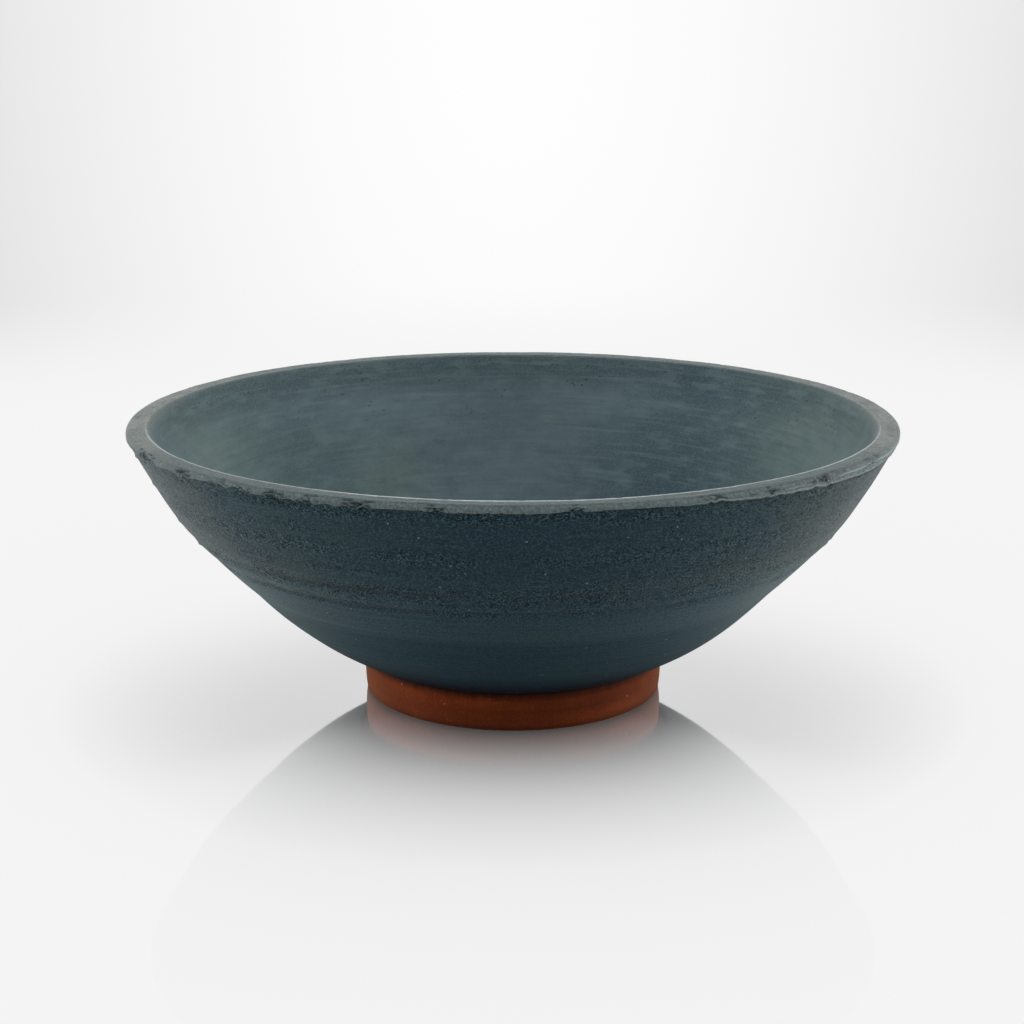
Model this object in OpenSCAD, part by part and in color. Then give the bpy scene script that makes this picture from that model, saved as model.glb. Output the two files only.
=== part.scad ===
// Footed clay bowl, thrown and turned about the Z axis, with a matt coat inside and outside.
// The origin is the centre of the circle that the foot ring rests on.
// Diameters, heights and wall thicknesses are measured over the coats.
// The clay lies under them at an even depth.

/* [Bowl] */
// Diameter across the rim
rim_d = 200; // [170:1:240]
// Height from the table to the top of the lip
height = 73.8; // [62:0.1:88]
// Diameter of the outside wall's line at the level of the underside
heel_d = 83; // [70:0.2:98]
// Distance of the waist from the heel, along the straight line from heel to lip
waist_up = 36.4; // [30:0.2:44]
// How far the waist stands out from that line
waist_out = 5.9; // [4.6:0.1:7]
// How far the turned stretch below the waist bows out
low_bow = 1.8; // [1.4:0.1:2.4]
// How far the thrown stretch above the waist bows out
high_bow = 2.4; // [2:0.1:3.2]
// Radius of the slight hollow at the waist
hollow_r = 60; // [30:1:80]
// Thickness of the wall at the lip
lip_t = 5.4; // [4.4:0.1:7]
// Thickness of the floor over the foot
floor_t = 6; // [4.6:0.1:8]
// Diameter of the flat floor inside
floor_d = 52; // [42:1:62]
// Radius of the curve between the floor and the inside wall
well_r = 40; // [33:1:47]

/* [Lip] */
// Radius of the lip's outer edge
lip_outer_round = 1.3; // [1:0.1:2]
// Radius of the lip's inner edge
lip_inner_round = 1.2; // [0.9:0.1:1.8]
// Height of the upright edge below the lip's outer round
lip_edge_h = 0.2; // [0.1:0.05:0.6]
// How far the lip's coat stands out past the outside coat
lip_overhang = 0.3; // [0.1:0.05:0.6]

/* [Throwing rings] */
// Depth of the rings that the fingers leave inside
ring_depth = 0.12; // [0.05:0.01:0.3]
// Distance from one ring to the next, up the wall
ring_pitch = 7.7; // [5:0.1:12]

/* [Turning grooves] */
// Depth of each groove in the outside coat
groove_depth = 0.2; // [0.1:0.05:0.3]
// Width of each groove
groove_w = 1; // [0.6:0.1:1.6]

/* [Coats] */
// Thickness of the outside coat
outside_coat_t = 0.6; // [0.4:0.05:0.8]
// Thickness of the inside coat
inside_coat_t = 0.5; // [0.3:0.05:0.7]
// Bare clay between the heel and the outside coat, up the wall
bare_strip = 1.3; // [0.8:0.1:2.5]

/* [Foot] */
// Height from the table to the bowl's underside
foot_h = 11; // [8:0.1:14]
// Thickness of the foot ring from its outer to its inner wall
foot_w = 8.6; // [6:0.1:12]
// How far the foot's outer wall stands in from the heel
foot_set_in = 0.4; // [0.3:0.1:1.5]
// How far the foot's outer wall bows out
foot_bow = 0.3; // [0.1:0.05:0.6]
// Radius of the foot's outer bottom edge
foot_round = 0.9; // [0.5:0.1:1.5]
// Bevel along the foot's inner bottom edge
foot_inner_bevel = 1.2; // [0.6:0.1:2]
// Bevel along the foot's outer top edge
foot_top_bevel = 0.4; // [0.2:0.1:0.8]
// Thickness of the slip that joins the foot to the bowl
slip_t = 0.6; // [0.3:0.1:1]
// How far the slip stands in from the foot's top face
slip_set_in = 0.3; // [0.1:0.1:0.8]

/* [Hidden] */
$fn = 180;

// Where the turning grooves lie, as shares of the way up the thrown stretch
groove_shares = [0.3, 0.45];
// Steps on each round edge, each throwing ring and each stretch of wall
edge_steps = 6;
ring_steps = 6;
wall_steps = 12;
// Steps between one turning groove and the next
band_steps = 6;
// Steps on the curve between the floor and the inside wall
well_steps = 18;

coat_colour = "#34474D";
clay_colour = "#8F4A2C";
slip_colour = "#5A2A1C";

// Levels up the axis
ring_top_z = foot_h - slip_t;
floor_z = foot_h + floor_t;
band_z = height - lip_outer_round - lip_edge_h;
rim_r = rim_d / 2;

// Outside wall: two arcs that bow out, from the underside's level to the waist and on to the lip
wall_base = [heel_d / 2, foot_h];
wall_top = [rim_r - lip_overhang, band_z];
climb = (wall_top - wall_base) / norm(wall_top - wall_base);
waist = wall_base + waist_up * climb + waist_out * [climb.y, -climb.x];
low_r = bow_radius(norm(waist - wall_base), low_bow);
low_c = bow_centre(wall_base, waist, low_bow);
high_r = bow_radius(norm(wall_top - waist), high_bow);
high_c = bow_centre(waist, wall_top, high_bow);
lip_a = bearing(high_c, wall_top);

// The hollow at the waist: an arc that touches both stretches from outside
hollow_c = outer_meeting(low_c, low_r + hollow_r, high_c, high_r + hollow_r);
low_end_a = bearing(low_c, hollow_c);
high_start_a = bearing(high_c, hollow_c);

// The clay's outside, under the coat: from the heel, past the coat's lower edge, to the lip
heel_r = across(low_c, low_r - outside_coat_t, foot_h);
clay_lip_r = across(high_c, high_r - outside_coat_t, band_z);
coat_base_a = bearing(low_c, [heel_r, foot_h]) + swing(bare_strip, low_r - outside_coat_t);
clay_lip_a = bearing(high_c, [clay_lip_r, band_z]);

// The clay's outer edge at the lip, rounded about the level of the coat's own round
clay_edge_round = lip_outer_round - inside_coat_t;
clay_edge_c = [clay_lip_r - clay_edge_round, height - lip_outer_round];

// Well: an arc that rises from the edge of the flat floor
well_c = [floor_d / 2, floor_z + well_r];

// Inside wall: an arc that leaves the well smoothly and ends side by side with the outside wall
lip_side = [cos(lip_a), sin(lip_a)];
in_top = high_c + (high_r - lip_t) * lip_side;
in_reach = in_top - well_c;
in_r = (in_reach * in_reach - pow(well_r, 2)) / (2 * (in_reach * lip_side - well_r));
in_c = in_top - in_r * lip_side;
well_a = bearing(in_c, well_c);

// Round edges of the lip
lip_in_c = [across(in_c, in_r + lip_inner_round, height - lip_inner_round), height - lip_inner_round];
lip_in_a = bearing(in_c, lip_in_c);
lip_out_c = [rim_r - lip_outer_round, height - lip_outer_round];

// Throwing rings fill the inside wall from the well to the lip
ring_count = max(1, round((lip_in_a - well_a) / swing(ring_pitch, in_r)));
ring_points = ring_count * ring_steps;

// Foot ring, turned to stand just inside the heel
foot_r = heel_r - foot_set_in;
foot_edge_r = foot_r - foot_bow;
foot_in_r = foot_r - foot_w;
foot_wall_h = ring_top_z - foot_top_bevel - foot_round;
foot_wall_r = bow_radius(foot_wall_h, foot_bow);
foot_wall_c = [foot_r - foot_wall_r, foot_round + foot_wall_h / 2];
foot_wall_a = bearing(foot_wall_c, [foot_edge_r, foot_round + foot_wall_h]);

// Radius of an arc from its chord and how far it bows out
function bow_radius(chord, bow) = (pow(chord / 2, 2) + pow(bow, 2)) / (2 * bow);

// Centre of an arc that climbs from p to q and bows out away from the axis
function bow_centre(p, q, bow) =
    (p + q) / 2 + (bow_radius(norm(q - p), bow) - bow) * [p.y - q.y, q.x - p.x] / norm(q - p);

// The point on the outer side where two circles meet
function outer_meeting(c1, r1, c2, r2) =
    let (gap = norm(c2 - c1),
        toward = (c2 - c1) / gap,
        along = (pow(r1, 2) - pow(r2, 2) + pow(gap, 2)) / (2 * gap))
    c1 + along * toward + sqrt(pow(r1, 2) - pow(along, 2)) * [toward.y, -toward.x];

// Angle of the line from a centre to a point
function bearing(c, p) = atan2(p.y - c.y, p.x - c.x);

// Angle of an arc of the given length
function swing(length, r) = length / r * 180 / PI;

// Distance from the axis at which a circle reaches the level z
function across(c, r, z) = c.x + sqrt(pow(r, 2) - pow(z - c.y, 2));

function polar(c, r, a) = c + r * [cos(a), sin(a)];

function arc(c, r, from, to, steps) =
    [for (i = [0:steps]) polar(c, r, from + (to - from) * i / steps)];

// The points between an arc's two ends
function between(points) = [for (i = [1:len(points) - 2]) points[i]];

function backwards(points) = [for (i = [len(points) - 1:-1:0]) points[i]];

// Inside face from the axis to the crown of the lip, at a depth under the finished surface
function inside_face(depth) = concat(
    [[0, floor_z - depth]],
    arc(well_c, well_r + depth, -90, well_a, well_steps),
    [for (i = [1:ring_points - 1])
        polar(in_c, in_r + depth + ring_wave(i), well_a + (lip_in_a - well_a) * i / ring_points)],
    arc(lip_in_c, lip_inner_round - depth, lip_in_a + 180, 90, edge_steps));

// Depth of the throwing rings, which is nothing at the well, between two rings and at the lip
function ring_wave(i) = ring_depth * (1 - cos(360 * i / ring_steps)) / 2;

// The clay's outer edge at the lip, up to the crown
function clay_edge() = arc(clay_edge_c, clay_edge_round, 0, 90, edge_steps);

// The wall below the waist and the hollow at the waist, at a depth under the finished surface
function low_wall(depth) = concat(
    arc(low_c, low_r - depth, coat_base_a, low_end_a, wall_steps),
    between(arc(hollow_c, hollow_r + depth, low_end_a + 180, high_start_a + 180, edge_steps)));

// The clay's outside under the outside coat
function clay_wall() = concat(
    low_wall(outside_coat_t),
    arc(high_c, high_r - outside_coat_t, high_start_a, clay_lip_a, wall_steps * 2));

// Finished wall above the waist, with a shallow groove at each turning mark
function grooved_wall() =
    let (marks = [for (share = groove_shares) high_start_a + (lip_a - high_start_a) * share],
        half_a = swing(groove_w / 2, high_r),
        last = len(marks))
    [for (k = [0:last])
        let (from = k == 0 ? high_start_a : marks[k - 1] + half_a,
            to = k == last ? lip_a : marks[k] - half_a)
        each concat(
            k == 0 ? [] : [polar(high_c, high_r - groove_depth, marks[k - 1])],
            arc(high_c, high_r, from, to, band_steps))];

// Rolled lower edge of the outside coat, from the clay to the finished face
function coat_edge() =
    arc(polar(low_c, low_r - outside_coat_t / 2, coat_base_a), outside_coat_t / 2,
        coat_base_a + 180, coat_base_a + 360, edge_steps);

module turned(points) {
    rotate_extrude() polygon(points);
}

module clay_bowl() {
    color(clay_colour)
    turned(concat(
        [[0, foot_h], [heel_r, foot_h]],
        clay_wall(),
        clay_edge(),
        backwards(inside_face(inside_coat_t))));
}

module foot_ring() {
    color(clay_colour)
    turned(concat(
        [[foot_in_r + foot_inner_bevel, 0]],
        arc([foot_edge_r - foot_round, foot_round], foot_round, -90, 0, edge_steps),
        between(arc(foot_wall_c, foot_wall_r, -foot_wall_a, foot_wall_a, wall_steps)),
        [[foot_edge_r, ring_top_z - foot_top_bevel],
            [foot_edge_r - foot_top_bevel, ring_top_z],
            [foot_in_r, ring_top_z],
            [foot_in_r, foot_inner_bevel]]));
}

// Thin ring of dried slip, face to face with the foot below it and the bowl above it
module luting_slip() {
    slip_in_r = foot_in_r + slip_set_in;
    slip_out_r = foot_edge_r - foot_top_bevel - slip_set_in;
    color(slip_colour)
    translate([0, 0, ring_top_z])
    rotate_extrude()
    translate([slip_in_r, 0])
    square([slip_out_r - slip_in_r, slip_t]);
}

module inside_coat() {
    color(coat_colour)
    turned(concat(
        inside_face(0),
        arc(lip_out_c, lip_outer_round, 90, 0, edge_steps),
        [[rim_r, band_z], [clay_lip_r, band_z]],
        clay_edge(),
        backwards(inside_face(inside_coat_t))));
}

module outside_coat() {
    color(coat_colour)
    turned(concat(
        backwards(clay_wall()),
        between(coat_edge()),
        low_wall(0),
        grooved_wall()));
}

clay_bowl();
foot_ring();
luting_slip();
inside_coat();
outside_coat();
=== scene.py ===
import math

import bpy
import numpy as np
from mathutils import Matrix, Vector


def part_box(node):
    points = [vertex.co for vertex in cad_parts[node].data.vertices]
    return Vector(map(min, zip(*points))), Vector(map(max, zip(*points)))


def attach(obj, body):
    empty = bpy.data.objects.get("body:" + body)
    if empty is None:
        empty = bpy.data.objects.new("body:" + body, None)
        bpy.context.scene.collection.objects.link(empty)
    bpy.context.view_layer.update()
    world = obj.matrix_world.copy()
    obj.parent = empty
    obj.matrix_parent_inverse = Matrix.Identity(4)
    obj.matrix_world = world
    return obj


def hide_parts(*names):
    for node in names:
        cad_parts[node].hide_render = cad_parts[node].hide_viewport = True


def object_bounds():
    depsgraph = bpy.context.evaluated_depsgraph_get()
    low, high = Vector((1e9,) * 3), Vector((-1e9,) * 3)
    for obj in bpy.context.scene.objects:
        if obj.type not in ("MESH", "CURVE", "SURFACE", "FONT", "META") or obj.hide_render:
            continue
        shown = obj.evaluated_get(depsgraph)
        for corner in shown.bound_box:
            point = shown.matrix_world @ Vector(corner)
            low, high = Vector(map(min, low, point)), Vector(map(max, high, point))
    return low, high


# Dressed model of the footed clay bowl.
# The coats, the clay, the foot and the slip are closed turned shells on the solids' own profile,
# with the relief of throwing, turning and glazing added as real geometry.
# Shapes are worked out in millimetres and become metres when a mesh is made.

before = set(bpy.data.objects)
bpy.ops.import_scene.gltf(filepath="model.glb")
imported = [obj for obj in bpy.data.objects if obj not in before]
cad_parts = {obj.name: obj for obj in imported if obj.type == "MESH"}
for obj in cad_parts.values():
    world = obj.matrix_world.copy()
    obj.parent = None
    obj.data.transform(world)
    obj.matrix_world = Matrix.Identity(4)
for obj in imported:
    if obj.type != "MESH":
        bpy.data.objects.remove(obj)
cad_low, cad_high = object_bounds()

MM = 0.001
TAU = 2 * math.pi

# Profile, the same driving dimensions as the solids
RIM_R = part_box("inside_coat")[1].x / MM
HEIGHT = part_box("inside_coat")[1].z / MM
FOOT_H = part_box("clay_bowl")[0].z / MM
RING_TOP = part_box("foot_ring")[1].z / MM
HEEL_R = 41.5
WAIST_UP = 36.4
WAIST_OUT = 5.9
LOW_BOW = 1.8
HIGH_BOW = 2.4
HOLLOW_R = 60
LIP_T = 5.4
FLOOR_T = 6
FLOOR_R = 26
WELL_R = 40
LIP_OUTER_ROUND = 1.3
LIP_INNER_ROUND = 1.2
LIP_EDGE_H = 0.2
LIP_OVERHANG = 0.3
OUTSIDE_COAT_T = 0.6
INSIDE_COAT_T = 0.5
BARE_STRIP = 1.3
FOOT_W = 8.6
FOOT_SET_IN = 0.4
FOOT_BOW = 0.3
FOOT_ROUND = 0.9
FOOT_INNER_BEVEL = 1.2
FOOT_TOP_BEVEL = 0.4
SLIP_SET_IN = 0.3

# Throwing rings inside; coarse bands, a low swell and grooves outside, by their heights
RING_DEPTH = 0.035
RING_PITCH = 7.7
SWELL_LEVEL = 51.0
SWELL_H = 0.5
SWELL_HALF = 7.0
GROOVE_LEVELS = (43.9, 49.3)
GROOVE_DEPTH = 0.14
GROOVE_W = 1.1
# A small swell low on the right: how far out, (height, half height), (turn, half turn)
LOW_SWELL_H = 0.35
LOW_SWELL_LEVEL = (19, 7)
LOW_SWELL_TURN = (60, 30)
# Turning rings under the bowl: where they set in and die out from the axis, and their pitch
UNDERSIDE_START = (1, 4)
UNDERSIDE_END = (29, 30.5)
UNDERSIDE_PITCH = 2.3
# (height, half width, how coarse) of the bands where the tool dragged grit through the clay
COARSE_BANDS = (
    (70.8, 2.4, 1.0), (65.5, 3.0, 0.4), (59.6, 2.6, 0.85),
    (54.5, 2.5, 0.5), (48.4, 3.2, 1.0), (43.7, 2.0, 0.8))

# Torn stretches of the lip's lower edge: (degrees from the front towards the right, half width)
TORN_PLACES = (
    (-62, 4), (-50, 2), (-42, 2), (-38, 2.5), (-32, 2.2), (-26.5, 1.2), (-20, 2.2),
    (-10, 1.4), (8, 1.5), (26.5, 2), (36, 2), (45, 4), (58, 3))
# Burrs that stand out from the outline: (degrees from the front, height, size), and their reach
BURRS = (
    (-73, 69.0, 0.3), (-71, 62.3, 0.25), (-69.7, 53.2, 0.25), (-68, 47.5, 0.3), (73, 69.4, 0.3),
    (68, 47.2, 0.3), (68.5, 49.0, 0.25), (150, 66.0, 0.3), (-128, 58.0, 0.25))
BURR_HALF_UP = 0.45
BURR_HALF_AROUND = 1.0
# Pooled places inside: (x, y, z, reach, share)
POOLED_PLACES = (
    (47, 54, 42, 52, 0.85), (57, 73, 71, 20, 0.5), (70, 52, 66, 22, 0.3), (-59, 48, 50, 36, 0.5))
# The second dip on the right: where its edge begins, is lowest and ends, its drop and thickness
LAP_START = 12
LAP_FULL = 62
LAP_END = (100, 116)
LAP_DROP = 1.85
LAP_T = 0.34

# The band of dents along the outside's top edge: height, half height
EDGE_LEVEL = (71.2, 0.9)
# Dents and grains at random places: (how many, half height, half length, depth)
DRAG_DENTS = (900, (0.3, 0.5), (0.5, 1.5), (-0.16, -0.05))
DRAG_GRAINS = (500, (0.3, 0.5), (0.5, 0.9), (0.03, 0.1))
EDGE_DENTS = (200, (0.25, 0.4), (0.4, 1.2), (-0.25, -0.08))
CROWN_DENTS = (520, (0.25, 0.4), (0.3, 0.9), (-0.16, -0.04))
LIP_TEARS = (210, (0.16, 0.32), (0.4, 1.3), (-0.45, -0.12))
CLAY_DENTS = (160, (0.25, 0.4), (0.4, 1.6), (-0.12, -0.05))
FOOT_DENTS = (420, (0.22, 0.4), (0.35, 1.1), (-0.14, -0.04))

# Seeds of the random draws
LIP_SEED = 11
LAP_SEED = 7
COAT_EDGE_SEED = 5
OUTSIDE_SEED = 21
INSIDE_SEED = 31
CLAY_SEED = 41
FOOT_SEED = 51
SLIP_SEED = 61

# Columns round each shell, and the relief maps' steps up a face and round it
LIP_COLUMNS = 1200
WALL_COLUMNS = 800
FOOT_COLUMNS = 480
MAP_STEP = 0.25
MAP_COLUMNS = 2400
# Steps of the round at the lip's inner side
LIP_ROUND_STEPS = 9

# Lowest and highest relief on the lip and inside
LIP_RELIEF = (-0.6, 0)
INSIDE_RELIEF = (-0.3, 0.1)

# Over the last stretch, the outside coat's face follows its uneven top edge, and its relief calms down
TOP_FOLLOWS = 6
TOP_CALMS = 0.6
# Below the top edge by this many degrees the rows begin to lie closer
DENSE_TOP = 2.4

# How far the dressed rim keeps inside the solids' box
ROUND_MARGIN = 0.05

# Camera, fitted to the outline of the bowl
CAMERA_PLACE = (-0.00025, -0.50435, 0.17452)
CAMERA_TILT = 75.845
CAMERA_LENS = 68.84
CAMERA_SENSOR = 36.0
CAMERA_CLIP = 0.01


def srgb(red, green, blue):
    """Linear colour of a screen colour given from 0 to 255"""
    screen = np.array([red, green, blue]) / 255
    linear = np.where(screen <= 0.04045, screen / 12.92, ((screen + 0.055) / 1.055) ** 2.4)
    return (*linear.tolist(), 1.0)


# Outlines: points are (distance from the axis, height)

def bow_radius(chord, bow):
    return ((chord / 2) ** 2 + bow ** 2) / (2 * bow)


def bow_centre(p, q, bow):
    chord = np.linalg.norm(q - p)
    inward = np.array([p[1] - q[1], q[0] - p[0]]) / chord
    return (p + q) / 2 + (bow_radius(chord, bow) - bow) * inward


def outer_meeting(c1, r1, c2, r2):
    gap = np.linalg.norm(c2 - c1)
    toward = (c2 - c1) / gap
    along = (r1 ** 2 - r2 ** 2 + gap ** 2) / (2 * gap)
    return c1 + along * toward + math.sqrt(r1 ** 2 - along ** 2) * np.array([toward[1], -toward[0]])


def bearing(centre, point):
    return math.atan2(point[1] - centre[1], point[0] - centre[0])


def across(centre, radius, level):
    return centre[0] + math.sqrt(radius ** 2 - (level - centre[1]) ** 2)


def arc(centre, radius, start, end, steps):
    angles = np.linspace(start, end, steps + 1)
    return np.array(centre) + radius * np.stack([np.cos(angles), np.sin(angles)], axis=1)


def straight(p, q, steps):
    share = np.linspace(0, 1, steps + 1)[:, None]
    return np.array(p) * (1 - share) + np.array(q) * share


def joined(*stretches):
    """One outline from stretches that follow each other, without doubled points"""
    points = np.concatenate([np.atleast_2d(s) for s in stretches])
    apart = np.linalg.norm(np.diff(points, axis=0), axis=1) > 1e-6
    return points[np.concatenate([[True], apart])]


def lengths_along(points):
    return np.concatenate([[0], np.cumsum(np.linalg.norm(np.diff(points, axis=0), axis=1))])


class Profile:
    """Centres, radii and ends of the bowl's arcs, worked out as in the solids"""

    def __init__(self):
        self.band_z = HEIGHT - LIP_OUTER_ROUND - LIP_EDGE_H
        self.floor_z = FOOT_H + FLOOR_T
        base = np.array([HEEL_R, FOOT_H])
        top = np.array([RIM_R - LIP_OVERHANG, self.band_z])
        climb = (top - base) / np.linalg.norm(top - base)
        waist = base + WAIST_UP * climb + WAIST_OUT * np.array([climb[1], -climb[0]])
        self.low_r = bow_radius(np.linalg.norm(waist - base), LOW_BOW)
        self.low_c = bow_centre(base, waist, LOW_BOW)
        self.high_r = bow_radius(np.linalg.norm(top - waist), HIGH_BOW)
        self.high_c = bow_centre(waist, top, HIGH_BOW)
        self.lip_a = bearing(self.high_c, top)
        self.hollow_c = outer_meeting(
            self.low_c, self.low_r + HOLLOW_R, self.high_c, self.high_r + HOLLOW_R)
        self.low_end_a = bearing(self.low_c, self.hollow_c)
        self.high_start_a = bearing(self.high_c, self.hollow_c)
        self.heel_r = across(self.low_c, self.low_r - OUTSIDE_COAT_T, FOOT_H)
        self.clay_lip_r = across(self.high_c, self.high_r - OUTSIDE_COAT_T, self.band_z)
        self.heel_a = bearing(self.low_c, (self.heel_r, FOOT_H))
        self.coat_base_a = self.heel_a + BARE_STRIP / (self.low_r - OUTSIDE_COAT_T)
        self.clay_lip_a = bearing(self.high_c, (self.clay_lip_r, self.band_z))
        self.clay_round = LIP_OUTER_ROUND - INSIDE_COAT_T
        self.clay_edge_c = np.array([self.clay_lip_r - self.clay_round, HEIGHT - LIP_OUTER_ROUND])
        self.inside()
        self.foot_r = self.heel_r - FOOT_SET_IN
        self.foot_edge_r = self.foot_r - FOOT_BOW
        self.foot_in_r = self.foot_r - FOOT_W

    def inside(self):
        self.well_c = np.array([FLOOR_R, self.floor_z + WELL_R])
        side = np.array([math.cos(self.lip_a), math.sin(self.lip_a)])
        top = self.high_c + (self.high_r - LIP_T) * side
        reach = top - self.well_c
        self.in_r = (reach @ reach - WELL_R ** 2) / (2 * (reach @ side - WELL_R))
        self.in_c = top - self.in_r * side
        self.well_a = bearing(self.in_c, self.well_c)
        level = HEIGHT - LIP_INNER_ROUND
        self.lip_in_c = np.array([across(self.in_c, self.in_r + LIP_INNER_ROUND, level), level])
        self.lip_in_a = bearing(self.in_c, self.lip_in_c)
        self.lip_out_c = np.array([RIM_R - LIP_OUTER_ROUND, HEIGHT - LIP_OUTER_ROUND])

    def inside_face(self, depth, floor_steps, well_steps, wall_steps, round_steps):
        """From the axis over the floor and up the wall to the crown of the lip"""
        quarter = math.pi / 2
        start = (0, self.floor_z - depth)
        edge = (FLOOR_R, self.floor_z - depth)
        return joined(
            straight(start, edge, floor_steps),
            arc(self.well_c, WELL_R + depth, -quarter, self.well_a, well_steps),
            arc(self.in_c, self.in_r + depth, self.well_a, self.lip_in_a, wall_steps),
            arc(self.lip_in_c, LIP_INNER_ROUND - depth, self.lip_in_a + math.pi, quarter, round_steps))

    def outside_face(self, depth, start_a, end_a, low_steps, high_steps):
        """From near the heel to the lip"""
        half_turn = math.pi
        return joined(
            arc(self.low_c, self.low_r - depth, start_a, self.low_end_a, low_steps),
            arc(self.hollow_c, HOLLOW_R + depth,
                self.low_end_a + half_turn, self.high_start_a + half_turn, 6),
            arc(self.high_c, self.high_r - depth, self.high_start_a, end_a, high_steps))

    def clay_edge(self, steps):
        return arc(self.clay_edge_c, self.clay_round, 0, math.pi / 2, steps)


# Relief: height maps in millimetres, up the outline and once round

class ReliefMap:
    """Height map of a turned face, with seeded noise and stamped marks"""

    def __init__(self, length, radius, seed):
        self.random = np.random.default_rng(seed)
        self.rows = int(length / MAP_STEP) + 2
        self.up = np.arange(self.rows)[:, None] * MAP_STEP
        self.column_step = TAU * radius / MAP_COLUMNS
        self.height = np.zeros((self.rows, MAP_COLUMNS))

    def noise(self, up, around):
        """Smooth noise of unit spread with features of the given sizes"""
        padded = self.rows + int(6 * up / MAP_STEP)
        white = self.random.standard_normal((padded, MAP_COLUMNS))
        f_up = np.fft.fftfreq(padded, MAP_STEP)[:, None]
        f_around = np.fft.rfftfreq(MAP_COLUMNS, self.column_step)[None, :]
        keep = np.exp(-2 * (math.pi ** 2) * ((f_up * up) ** 2 + (f_around * around) ** 2) / 4)
        smooth = np.fft.irfft2(np.fft.rfft2(white) * keep, s=(padded, MAP_COLUMNS))[:self.rows]
        return (smooth - smooth.mean()) / smooth.std()

    def stamp(self, density, count, half_up, half_around, depth):
        """Rounded dents or grains at random places, more where density is high.
        A density that has no columns puts them all where the outline starts."""
        weight = np.maximum(density, 0).ravel()
        places = self.random.choice(weight.size, count, p=weight / weight.sum())
        size_up = self.random.uniform(*half_up, count)
        size_around = self.random.uniform(*half_around, count)
        depths = self.random.uniform(*depth, count)
        for place, up, around, deep in zip(places, size_up, size_around, depths):
            row, column = divmod(int(place), MAP_COLUMNS)
            reach_up = int(2 * up / MAP_STEP) + 1
            reach_around = int(2 * around / self.column_step) + 1
            rows = np.arange(max(row - reach_up, 0), min(row + reach_up + 1, self.rows))
            columns = np.arange(column - reach_around, column + reach_around + 1)
            far = (((rows - row) * MAP_STEP / up) ** 2)[:, None] \
                + (((columns - column) * self.column_step / around) ** 2)[None, :]
            self.height[np.ix_(rows, columns % MAP_COLUMNS)] += deep * np.exp(-1.5 * far)

    def at(self, lengths, columns):
        """Heights at the given lengths up the outline, on every n-th column"""
        row = np.clip(lengths / MAP_STEP, 0, self.rows - 1.001)
        low = row.astype(int)
        share = (row - low)[:, None]
        part = self.height[:, ::MAP_COLUMNS // columns]
        return part[low] * (1 - share) + part[low + 1] * share


def bump_curve(value, centre, width):
    return np.exp(-((value - centre) / width) ** 2)


def smooth_step(value, start, end):
    share = np.clip((value - start) / (end - start), 0, 1)
    return share * share * (3 - 2 * share)


def dent_marks(push, depth, start):
    """How much painted shade the dents get: none down to a share of the depth, then more and more"""
    return np.clip(-push / depth - start, 0, 1)


def ring_noise(random, size, radius):
    """Smooth noise of unit spread once round, with features of the given size"""
    white = random.standard_normal(MAP_COLUMNS)
    frequency = np.fft.rfftfreq(MAP_COLUMNS, TAU * radius / MAP_COLUMNS)
    smooth = np.fft.irfft(np.fft.rfft(white) * np.exp(-(math.pi * frequency * size) ** 2 / 2), MAP_COLUMNS)
    return (smooth - smooth.mean()) / smooth.std()


# Degrees of each map column from the front of the bowl, towards its right side
COLUMN_TURN = np.arange(MAP_COLUMNS) * TAU / MAP_COLUMNS
FROM_FRONT = np.degrees((COLUMN_TURN + math.pi / 2 + math.pi) % TAU - math.pi)


class LipEdge:
    """Where the lip's coat ends below the rim, once round"""

    def __init__(self):
        random = np.random.default_rng(LIP_SEED)
        broad = 0.1 * ring_noise(random, 40, RIM_R)
        middle = 0.07 * ring_noise(random, 6, RIM_R)
        self.torn = np.clip(0.45 * ring_noise(random, 15, RIM_R) - 0.1, 0, 0.7)
        for centre, width in TORN_PLACES:
            self.torn = np.maximum(self.torn, bump_curve(FROM_FRONT, centre, width))
        fine = ring_noise(random, 1.2, RIM_R)
        bites = np.clip(fine - 0.2, 0, 1.4) * 0.36 * (self.torn + 0.12)
        flaps = np.clip(-fine - 0.7, 0, 1.2) * 0.3 * (self.torn + 0.2)
        # The coat ran lower on the right, where it was dipped twice
        sag = -0.17 - 0.25 * bump_curve(FROM_FRONT, 80, 18) + 0.3 * bump_curve(FROM_FRONT, -14, 6)
        self.rise = np.clip(broad + middle + bites - flaps + sag, -0.8, 0.7)
        self.overhang = np.clip(0.8 + 0.2 * ring_noise(random, 9, RIM_R) - 0.8 * bites, 0.15, 1.0)

    def at(self, columns):
        every = MAP_COLUMNS // columns
        return self.rise[::every], self.overhang[::every]


PROFILE = Profile()
LIP_EDGE = LipEdge()


# Meshes

def settled(points):
    """All shells alike, drawn in by a hair to stay inside the solids' box"""
    round_x = (cad_high.x / MM - ROUND_MARGIN) / RIM_R
    round_y = (min(cad_high.y, -cad_low.y) / MM - ROUND_MARGIN) / RIM_R
    moved = points.copy()
    moved[..., 0] *= round_x
    moved[..., 1] *= round_y
    return moved


def outline_normals(points, closed):
    """Unit normals to the right of the way along an outline"""
    if closed:
        way = np.roll(points, -1, axis=0) - np.roll(points, 1, axis=0)
    else:
        way = np.gradient(points, axis=0)
    way = way / np.maximum(np.linalg.norm(way, axis=-1, keepdims=True), 1e-9)
    return np.stack([way[..., 1], -way[..., 0]], axis=-1)


def grid_faces(rows, columns, closed):
    """Quads between neighbouring rows and columns"""
    row = np.arange(rows if closed else rows - 1)
    column = np.arange(columns)
    r, c = np.meshgrid(row, column, indexing="ij")
    up = (r + 1) % rows
    side = (c + 1) % columns
    quads = np.stack([r * columns + c, r * columns + side, up * columns + side, up * columns + c], axis=-1)
    return quads.reshape(-1, 4)


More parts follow.
